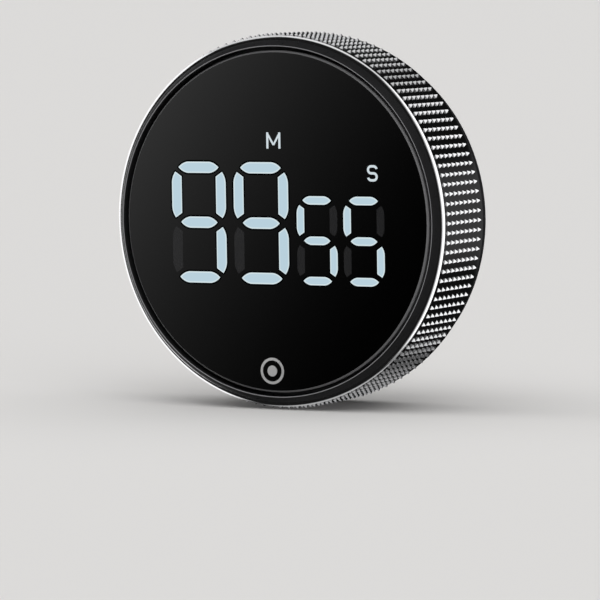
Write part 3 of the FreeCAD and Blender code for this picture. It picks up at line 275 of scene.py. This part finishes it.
def turned_bezel():
    """Black anodised aluminium with fine turned grooves, and a grey painted highlight along its
    inner front edge.
    """
    look = Look("turned_bezel", (0.013, 0.013, 0.014), 0.3)
    look.shader.inputs["Specular IOR Level"].default_value = 0.06
    radius = look.axis_radius()
    body = look.mix(look.noise(4.0 * MM), (0.011, 0.011, 0.0115), (0.016, 0.016, 0.017))
    near_bore = look.remap(radius, BEZEL_EDGE_RADIUS, BEZEL_EDGE_RADIUS - EDGE_FADE)
    behind = BEZEL_EDGE_DEPTH - BEZEL_FRONT
    near_front = look.remap(look.along("Y"), behind + EDGE_FADE, behind)
    # A grey painted highlight along the inner front edge, standing in for the light that edge
    # catches.
    painted_highlight = look.math("MULTIPLY", near_bore, near_front)
    look.colour(look.mix(painted_highlight, body, (0.25, 0.25, 0.26)))
    look.roughness(look.remap(look.noise(1.0 * MM), 0.3, 0.7, 0.26, 0.38))
    turns = look.math("MULTIPLY", radius, WHOLE_TURN / (0.09 * MM))
    look.bump(look.math("SINE", turns), 0.0012 * MM)
    return look.material


def lens_black():
    """The glossy cover, with a grey painted highlight on its rougher edge and the faint smears of a
    handled surface.
    """
    look = Look("lens_black", LENS_BLACK, 0.03)
    # A grey painted highlight round the cover's edge, where the cover is also rougher.
    painted_highlight = look.remap(look.axis_radius(), LENS_EDGE_RADIUS, LENS_EDGE_RADIUS + EDGE_FADE)
    look.colour(look.mix(painted_highlight, LENS_BLACK, (0.17, 0.17, 0.175)))
    smears = look.remap(look.noise(9.0 * MM), 0.35, 0.7, 0.02, 0.04)
    look.roughness(look.math("MAXIMUM", smears, look.math("MULTIPLY", painted_highlight, 0.5)))
    return look.material


def glow(name, colour):
    """A lit window: what shows is the light itself."""
    look = Look(name, (0.0, 0.0, 0.0), 0.25)
    look.shader.inputs["Emission Color"].default_value = (*colour, 1.0)
    look.shader.inputs["Emission Strength"].default_value = 1.0
    return look.material


def printed_black():
    """Matt black ink, a little uneven in cover."""
    look = Look("printed_black", (0.001, 0.001, 0.001), 0.9)
    look.shader.inputs["Specular IOR Level"].default_value = 0.0
    look.colour(look.mix(look.noise(0.5 * MM), (0.0005, 0.0008, 0.001), (0.002, 0.0025, 0.003)))
    return look.material


def moulded(name, colour, roughness, grain=0.15 * MM, depth=0.004 * MM):
    """Injection-moulded plastic or rubber with a spark-eroded grain."""
    look = Look(name, colour, roughness)
    darker = [part * 0.8 for part in colour]
    lighter = [part * 1.2 for part in colour]
    look.colour(look.mix(look.noise(5.0 * MM), darker, lighter))
    roughest = min(1.0, roughness * 1.15)
    look.roughness(look.remap(look.noise(1.2 * MM), 0.3, 0.7, roughness * 0.9, roughest))
    look.bump(look.noise(grain), depth)
    return look.material


def plated(name, colour, roughness):
    """Plated sheet metal or a fastener."""
    look = Look(name, colour, roughness, metallic=1.0)
    duller = [part * 0.8 for part in colour]
    look.colour(look.mix(look.noise(1.5 * MM), duller, colour))
    look.roughness(look.remap(look.noise(0.6 * MM), 0.3, 0.7, roughness * 0.8, roughness * 1.3))
    return look.material


def circuit_board():
    """Green solder mask over a web of lighter copper tracks."""
    look = Look("circuit_board", (0.02, 0.13, 0.06), 0.35)
    cells = look.node("ShaderNodeTexBrick")
    look.feed(cells.inputs["Vector"], look.place)
    cells.inputs["Scale"].default_value = 1.0 / (12.0 * MM)
    cells.inputs["Mortar Size"].default_value = 0.03
    look.colour(look.mix(cells.outputs["Fac"], (0.014, 0.1, 0.045), (0.03, 0.19, 0.085)))
    look.bump(cells.outputs["Fac"], 0.03 * MM)
    return look.material


def cell_jacket():
    """Plain AAA jacket: dark green with a copper-coloured band towards the positive end."""
    look = Look("cell_jacket", (0.02, 0.05, 0.035), 0.3)
    band = look.remap(look.along("X"), 12.0 * MM, 12.3 * MM)
    look.colour(look.mix(band, (0.015, 0.04, 0.03), (0.45, 0.2, 0.08)))
    look.roughness(look.remap(look.noise(2.0 * MM), 0.3, 0.7, 0.22, 0.36))
    return look.material


LOOKS = {
    "knurled_metal": knurled_metal(),
    "dark_bezel": turned_bezel(),
    "black_plastic": moulded("black_plastic", (0.008, 0.008, 0.009), 0.55),
    "white_plastic": moulded("white_plastic", (0.72, 0.72, 0.7), 0.42),
    "grey_component": moulded("grey_component", (0.2, 0.21, 0.22), 0.5),
    "gloss_black": lens_black(),
    "lit_segments": glow("lit_segments", (0.47, 0.62, 0.705)),
    "dark_segments": moulded("dark_segments", (0.008, 0.008, 0.009), 0.2),
    "letter_white": glow("letter_white", (0.62, 0.70, 0.74)),
    "icon_grey": moulded("icon_grey", (0.45, 0.45, 0.45), 0.4),
    "foam_grey": moulded("foam_grey", (0.08, 0.08, 0.085), 0.95, 0.5 * MM, 0.08 * MM),
    "black_component": moulded("black_component", (0.012, 0.012, 0.013), 0.6),
    "black_case": moulded("black_case", (0.014, 0.014, 0.015), 0.42, 0.25 * MM, 0.012 * MM),
    "silicone_black": moulded("silicone_black", (0.022, 0.022, 0.023), 0.8),
    "nickel": plated("nickel", (0.62, 0.6, 0.56), 0.25),
    "screw_steel": plated("screw_steel", (0.5, 0.5, 0.51), 0.3),
    "slider_grey": moulded("slider_grey", (0.16, 0.16, 0.17), 0.45),
    "board_green": circuit_board(),
    "ceramic_tan": moulded("ceramic_tan", (0.42, 0.3, 0.18), 0.4),
    "led_cream": moulded("led_cream", (0.8, 0.74, 0.42), 0.25),
    "film_white": moulded("film_white", (0.8, 0.81, 0.81), 0.6),
    "cell_jacket": cell_jacket(),
}
RIM_LOOK = polished_rim()
BORDER_LOOK = glow("window_border", (0.65, 0.765, 0.8))
OUTLINE_LOOK = printed_black()


def dress_cad_nodes():
    """Every CAD node takes the look of its material slot in the record."""
    for part in frame["record"]["subparts"]:
        node = frame["nodes"][part["node"]]
        node.data.materials.clear()
        node.data.materials.append(LOOKS[part["material_slot"]])


# ---------------------------------------------------------------- meshes


def on_ring(radius, depth, angle):
    return Vector((radius * math.sin(angle), -depth, radius * math.cos(angle)))


def link_mesh(name, bm, looks):
    bmesh.ops.recalc_face_normals(bm, faces=bm.faces)
    mesh = bpy.data.meshes.new(name)
    bm.to_mesh(mesh)
    bm.free()
    for look in looks:
        mesh.materials.append(look)
    mesh.shade_smooth()
    mesh.set_sharp_from_angle(angle=SHARP_ANGLE)
    piece = bpy.data.objects.new(name, mesh)
    bpy.context.scene.collection.objects.link(piece)
    return piece


def corner_arc(before, corner, after, radius):
    """Points that round a profile's corner off to a radius."""
    here = Vector(corner)
    back = (Vector(before) - here).normalized()
    ahead = (Vector(after) - here).normalized()
    half = back.angle(ahead) / 2.0
    reach = radius / math.tan(half)
    centre = here + (back + ahead).normalized() * radius / math.sin(half)
    start = here + back * reach - centre
    end = here + ahead * reach - centre
    turn = start.angle(end)
    points = []
    for step in range(CORNER_STEPS + 1):
        share = step / CORNER_STEPS
        near_start = start * math.sin((1 - share) * turn)
        near_end = end * math.sin(share * turn)
        points.append(centre + (near_start + near_end) / math.sin(turn))
    return points


def crowned(start, end, half_angle):
    """Points of a shallow arc from start to end that bulges to the front and outwards."""
    start = Vector(start)
    end = Vector(end)
    half = (end - start) / 2.0
    radius = half.length / math.sin(half_angle)
    outward = Vector((half.y, -half.x)).normalized()
    if outward.y < 0.0:
        outward.negate()
    centre = start + half - outward * radius * math.cos(half_angle)
    tangent = half.normalized()
    points = []
    for step in range(CROWN_STEPS + 1):
        angle = half_angle * (2.0 * step / CROWN_STEPS - 1.0)
        points.append(centre + radius * (outward * math.cos(angle) + tangent * math.sin(angle)))
    return points


def rounded(profile):
    """A closed profile of (radius, depth, corner radius), with its corners rounded off."""
    points = []
    for index, (radius, depth, corner) in enumerate(profile):
        before = profile[index - 1][:2]
        after = profile[(index + 1) % len(profile)][:2]
        if corner:
            points.extend(corner_arc(before, (radius, depth), after, corner))
        else:
            points.append(Vector((radius, depth)))
    return points


def lathe(bm, points):
    """Turns a closed profile of (radius, depth) points round the timer's axis."""
    rings = []
    for step in range(ROUND_STEPS):
        angle = WHOLE_TURN * step / ROUND_STEPS
        rings.append([bm.verts.new(on_ring(point.x, point.y, angle)) for point in points])
    for step in range(ROUND_STEPS):
        here = rings[step]
        there = rings[(step + 1) % ROUND_STEPS]
        for index in range(len(points)):
            follow = (index + 1) % len(points)
            bm.faces.new((here[index], here[follow], there[follow], there[index]))


def square_at(bm, radius, depth, angle, reach):
    """Corners of a square that faces outwards: back left, back right, front right, front left."""
    turn = reach / radius
    corners = ((-reach, -turn), (-reach, turn), (reach, turn), (reach, -turn))
    return [bm.verts.new(on_ring(radius, depth + ahead, angle + aside)) for ahead, aside in corners]


def knurl_pyramids(bm):
    """Rows of square pyramids with worn tips. Returns their base corners, by column and row."""
    bases = {}
    for column in range(KNURL_COUNT):
        angle = WHOLE_TURN * (column + 0.5) / KNURL_COUNT
        for row in range(KNURL_ROWS):
            depth = KNURL_FIRST + row * KNURL_PITCH
            low = square_at(bm, RIM_RADIUS, depth, angle, KNURL_HALF)
            high = square_at(bm, CREST_RADIUS, depth, angle, KNURL_TOP)
            for corner in range(4):
                follow = (corner + 1) % 4
                bm.faces.new((low[corner], low[follow], high[follow], high[corner]))
            bm.faces.new(high)
            bases[column, row] = low
    return bases


def build_knurled_ring():
    """The ring a hand turns: knurled round its side, with a polished front rim."""
    bm = bmesh.new()
    bases = knurl_pyramids(bm)
    back_loop = []
    front_loop = []
    angles = []
    for column in range(KNURL_COUNT):
        beside = (column + 1) % KNURL_COUNT
        for row in range(KNURL_ROWS):
            base = bases[column, row]
            right = bases[beside, row]
            bm.faces.new((base[1], right[0], right[3], base[2]))
            if row + 1 < KNURL_ROWS:
                ahead = bases[column, row + 1]
                ahead_right = bases[beside, row + 1]
                bm.faces.new((base[3], base[2], ahead[1], ahead[0]))
                bm.faces.new((base[2], right[3], ahead_right[0], ahead[1]))
        back_loop.extend(bases[column, 0][:2])
        front_loop.extend((bases[column, KNURL_ROWS - 1][3], bases[column, KNURL_ROWS - 1][2]))
        angle = WHOLE_TURN * (column + 0.5) / KNURL_COUNT
        reach = KNURL_HALF / RIM_RADIUS
        angles.extend((angle - reach, angle + reach))
    strip = [Vector((RIM_RADIUS, RIM_SHOULDER - RIM_EDGE))]
    bead = crowned((RIM_RADIUS, RIM_SHOULDER), (BEZEL_RADIUS, SLEEVE_FRONT), RIM_CROWN)
    inner = rounded(
        [
            (BEZEL_RADIUS, BEZEL_FLANGE, 0.0),
            (BORE_RADIUS, BEZEL_FLANGE, 0.0),
            (BORE_RADIUS, SLEEVE_BACK, 0.0),
            (RIM_RADIUS, SLEEVE_BACK, BACK_CORNER),
        ]
    )
    profile = strip + bead + inner
    rings = []
    for angle in angles:
        rings.append([bm.verts.new(on_ring(point.x, point.y, angle)) for point in profile])
    first_polished = len(strip)
    last_polished = first_polished + len(bead) - 1
    for step in range(len(angles)):
        follow = (step + 1) % len(angles)
        here = [front_loop[step], *rings[step], back_loop[step]]
        there = [front_loop[follow], *rings[follow], back_loop[follow]]
        for index in range(len(here) - 1):
            face = bm.faces.new((here[index], here[index + 1], there[index + 1], there[index]))
            face.material_index = 1 if first_polished <= index <= last_polished else 0
    piece = link_mesh("knurled_ring", bm, [LOOKS["knurled_metal"], RIM_LOOK])
    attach(piece, "knob")
    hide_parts("knurled_sleeve")


def build_bezel():
    """The dark ring pressed into the sleeve's mouth: a bevel with a rounded inner edge."""
    bm = bmesh.new()
    lathe(
        bm,
        rounded(
            [
                (BEZEL_BORE, BEZEL_BACK, 0.0),
                (BORE_RADIUS, BEZEL_BACK, 0.0),
                (BORE_RADIUS, BEZEL_FLANGE, 0.0),
                (BEZEL_RADIUS, BEZEL_FLANGE, 0.0),
                (BEZEL_RADIUS, SLEEVE_FRONT, 0.0),
                (BEZEL_BORE + LIP_WIDTH, BEZEL_FRONT, 0.07 * MM),
                (BEZEL_BORE, BEZEL_FRONT - LIP_DROP, 0.04 * MM),
            ]
        ),
    )
    piece = link_mesh("bezel_ring", bm, [LOOKS["dark_bezel"]])
    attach(piece, "knob")
    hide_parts("front_bezel")


def build_foam_ring():
    """The soft ring behind the panel, with rounded edges."""
    foam_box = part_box("return_foam")
    outer = foam_box[1].x
    inner = outer - FOAM_WIDTH
    back = -foam_box[1].y
    front = -foam_box[0].y
    bm = bmesh.new()
    lathe(
        bm,
        rounded(
            [
                (inner, back, FOAM_BACK_CORNER),
                (outer, back, FOAM_BACK_CORNER),
                (outer, front, FOAM_FRONT_CORNER),
                (inner, front, FOAM_FRONT_CORNER),
            ]
        ),
    )
    piece = link_mesh("foam_ring", bm, [LOOKS["foam_grey"]])
    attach(piece, "housing")
    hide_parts("return_foam")
    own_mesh(piece)


def build_windows(name, node_name):
    """Lit digit windows. Each has a border where light gathers, and a black outline."""
    node = frame["nodes"][node_name]
    bm = bmesh.new()
    bm.from_mesh(node.data)
    bm.transform(node.matrix_world)
    bmesh.ops.remove_doubles(bm, verts=bm.verts, dist=0.001 * MM)
    bmesh.ops.dissolve_limit(bm, angle_limit=math.radians(0.5), verts=bm.verts, edges=bm.edges)
    bm.normal_update()
    fronts = [face for face in bm.faces if face.normal.y < -0.99]
    cuts = (
        (-OUTLINE_WIDTH, OUTLINE_HEIGHT, OUTLINE_SLOT),
        (OUTLINE_WIDTH, 0.0, OUTLINE_SLOT),
        (BORDER_WIDTH, 0.0, BORDER_SLOT),
    )
    for face in fronts:
        for width, height, slot in cuts:
            made = bmesh.ops.inset_individual(bm, faces=[face], thickness=width, depth=height)
            for beside in made["faces"]:
                beside.material_index = slot
    piece = link_mesh(name, bm, [LOOKS["lit_segments"], BORDER_LOOK, OUTLINE_LOOK])
    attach(piece, "front_panel")
    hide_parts(node_name)


# ---------------------------------------------------------------- studio


def build_floor():
    """A plain pale floor that the timer stands on."""
    bm = bmesh.new()
    bmesh.ops.create_grid(bm, x_segments=1, y_segments=1, size=FLOOR_REACH)
    floor = link_mesh("studio_floor", bm, [])
    floor.location.z = cad_box[0].z - FLOOR_GAP
    look = Look("floor_paint", FLOOR_COLOUR, 0.9)
    look.shader.inputs["Specular IOR Level"].default_value = 0.0
    floor.data.materials.append(look.material)
    floor.visible_glossy = False


class Surroundings(Nodes):
    """Soft boxes of light round the studio, placed by azimuth and elevation in degrees.

    Azimuth 0 is straight in front of the timer, and it grows towards the right.
    """

    def __init__(self, tree):
        super().__init__(tree)
        split = self.node("ShaderNodeSeparateXYZ")
        self.feed(split.inputs["Vector"], self.node("ShaderNodeTexCoord").outputs["Generated"])
        forward = self.math("MULTIPLY", split.outputs["Y"], -1.0)
        turn = self.math("ARCTAN2", split.outputs["X"], forward)
        self.azimuth = self.math("DEGREES", turn)
        self.elevation = self.math("DEGREES", self.math("ARCSINE", split.outputs["Z"]))
        self.light = None

    def band(self, value, low, high, soft):
        rise = self.remap(value, low - soft, low + soft, shape="SMOOTHSTEP")
        fall = self.remap(value, high - soft, high + soft, 1.0, 0.0, shape="SMOOTHSTEP")
        return self.both(rise, fall)

    def add(self, level, shape):
        """Lights a shape up to a level. Where shapes overlap, the brighter one shows."""
        glow = self.math("MULTIPLY", shape, level)
        self.light = glow if self.light is None else self.math("MAXIMUM", self.light, glow)

    def box(self, level, azimuths, elevations):
        across = self.band(self.azimuth, *azimuths, BOX_SOFTNESS)
        up = self.band(self.elevation, *elevations, BOX_SOFTNESS)
        self.add(level, self.both(across, up))

    def fade(self, value, dark, lit):
        return self.remap(value, dark, lit, shape="SMOOTHSTEP")

    def both(self, first, second):
        return self.math("MULTIPLY", first, second)


def light_left(around):
    """Light at the left, which the panel mirrors. Its near edge leans, and fades in slowly."""
    lean = around.both(around.math("ADD", around.elevation, 2.7), 0.64)
    leaning = around.math("SUBTRACT", around.azimuth, lean)
    near = around.math("POWER", around.remap(leaning, -24.5, -32.8), 3.0)
    far = around.fade(around.azimuth, -48.0, -38.0)
    height = around.band(around.elevation, -18.0, 2.0, 2.5)
    around.add(LEFT_LEVEL, around.both(near, around.both(far, height)))


def light_right(around):
    """Tall light at the right, which the knurl and the rim mirror."""
    near = around.fade(around.azimuth, 2.0, 38.0)
    far = around.fade(around.azimuth, 70.0, 60.0)
    height = around.band(around.elevation, -50.0, 60.0, 6.0)
    around.add(RIGHT_LEVEL, around.both(near, around.both(far, height)))


def light_below_and_behind(around):
    """Light from below, a faint band behind the timer, and a trace of light everywhere."""
    around.add(BELOW_LEVEL, around.fade(around.elevation, -52.0, -62.0))
    behind = around.fade(around.math("ABSOLUTE", around.azimuth), 110.0, 130.0)
    around.add(BEHIND_LEVEL, around.both(behind, around.band(around.elevation, -14.0, 12.0, 5.0)))
    around.box(DARKEST_LEVEL, (-181.0, 181.0), (-91.0, 91.0))


def build_world():
    """Dim surroundings with soft boxes of light. The camera sees the floor's plain colour."""
    world = bpy.data.worlds.new("studio")
    bpy.context.scene.world = world
    world.use_nodes = True
    around = Surroundings(world.node_tree)
    light_left(around)
    for level, azimuths, elevations in SOFT_BOXES:
        around.box(level, azimuths, elevations)
    light_right(around)
    light_below_and_behind(around)
    seen = around.node("ShaderNodeLightPath").outputs["Is Camera Ray"]
    background = world.node_tree.nodes["Background"]
    around.feed(background.inputs["Color"], around.mix(seen, around.light, FLOOR_COLOUR))


def add_soft_sun(name, strength, spread):
    """Even light from above, out of a wide patch of sky. Reflections don't show it."""
    lamp = bpy.data.lights.new(name, "SUN")
    lamp.energy = strength
    lamp.angle = math.radians(spread)
    light = bpy.data.objects.new(name, lamp)
    light.visible_glossy = False
    bpy.context.scene.collection.objects.link(light)


def build_camera():
    sin_a = math.sin(CAMERA_AZIMUTH)
    cos_a = math.cos(CAMERA_AZIMUTH)
    sin_e = math.sin(CAMERA_ELEVATION)
    cos_e = math.cos(CAMERA_ELEVATION)
    forward = Vector((-sin_a * cos_e, cos_a * cos_e, -sin_e))
    right = Vector((cos_a, sin_a, 0.0))
    up = right.cross(forward)
    aim = Vector((0.0, -AIM_DEPTH, 0.0)) + right * AIM_RIGHT + up * AIM_UP
    place = aim - forward * CAMERA_DISTANCE
    axes = Matrix((right, up, -forward)).transposed().to_4x4()
    camera = bpy.data.objects.new("camera", bpy.data.cameras.new("camera"))
    camera.data.lens = CAMERA_LENS
    camera.data.sensor_width = 36.0
    camera.data.clip_start = 0.05
    camera.data.clip_end = 100.0
    camera.matrix_world = Matrix.Rotation(CAMERA_TWIST, 4, "Y") @ Matrix.Translation(place) @ axes
    bpy.context.scene.collection.objects.link(camera)
    bpy.context.scene.camera = camera


dress_cad_nodes()
build_knurled_ring()
build_bezel()
build_foam_ring()
build_windows("minute_windows", "minute_segments")
build_windows("second_windows", "second_segments")
build_floor()
build_world()
build_camera()
add_soft_sun("overhead", SUN_STRENGTH, SUN_SPREAD)
bpy.context.scene.view_settings.view_transform = "Standard"
